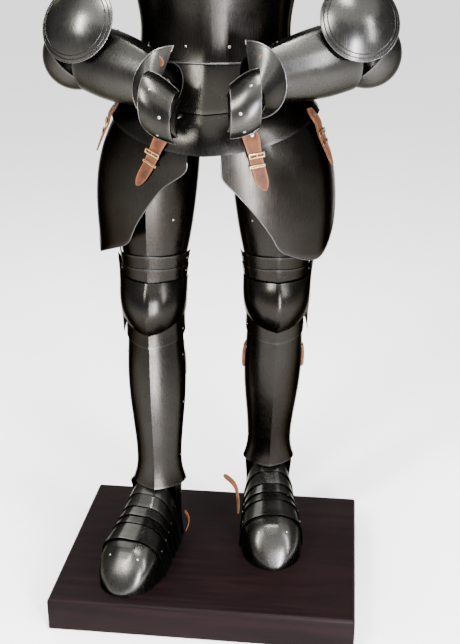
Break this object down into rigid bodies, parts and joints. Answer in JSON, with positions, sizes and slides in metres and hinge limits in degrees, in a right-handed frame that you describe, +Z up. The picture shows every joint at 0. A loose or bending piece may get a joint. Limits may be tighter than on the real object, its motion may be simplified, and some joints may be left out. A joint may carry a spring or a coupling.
{
  "type": "suit of plate armour on a wooden plinth",
  "caption": "Full suit of dark steel plate armour, worn pose with the hands held in front, on a low dark wooden plinth, held by a frame inside",
  "frame": {"origin": "centre of the plinth's underside", "axes": "+Z up, the suit faces -Y, its own left side is at +X"},
  "size_m": [0.6567, 0.471, 1.86],
  "materials": {
    "steel": "dark blackened steel, polished",
    "leather": "tan harness leather, satin",
    "wood": "dark mahogany lacquer, half gloss",
    "frame": "black paint, satin"
  },
  "bodies": {
    "root": {"plinth": "wood", "display_frame": "frame", "instep_1_left": "steel", "instep_2_left": "steel", "instep_3_left": "steel", "instep_4_left": "steel", "ball_plate_left": "steel", "toe_cap_left": "steel", "heel_plate_left": "steel", "greave_front_left": "steel", "greave_back_left": "steel", "knee_low_left": "steel", "knee_cop_left": "steel", "knee_up1_left": "steel", "knee_up2_left": "steel", "cuisse_left": "steel", "tasset_left": "steel", "instep_1_right": "steel", "instep_2_right": "steel", "instep_3_right": "steel", "instep_4_right": "steel", "ball_plate_right": "steel", "toe_cap_right": "steel", "heel_plate_right": "steel", "greave_front_right": "steel", "greave_back_right": "steel", "knee_low_right": "steel", "knee_cop_right": "steel", "knee_up1_right": "steel", "knee_up2_right": "steel", "cuisse_right": "steel", "tasset_right": "steel", "strap_inner_left": "leather", "strap_outer_left": "leather", "strap_inner_right": "leather", "strap_outer_right": "leather", "fauld_lower": "steel", "fauld_upper": "steel", "culet": "steel", "breastplate": "steel", "backplate": "steel", "shoulder_left": "steel", "upper_arm_left": "steel", "elbow_cop_left": "steel", "elbow_wing_left": "steel", "forearm_left": "steel", "cuff_left": "steel", "hand_left": "steel", "fingers_left": "steel", "shoulder_right": "steel", "upper_arm_right": "steel", "elbow_cop_right": "steel", "elbow_wing_right": "steel", "forearm_right": "steel", "cuff_right": "steel", "hand_right": "steel", "fingers_right": "steel", "gorget": "steel", "bevor": "steel", "helmet": "steel"}
  },
  "joints": []
}
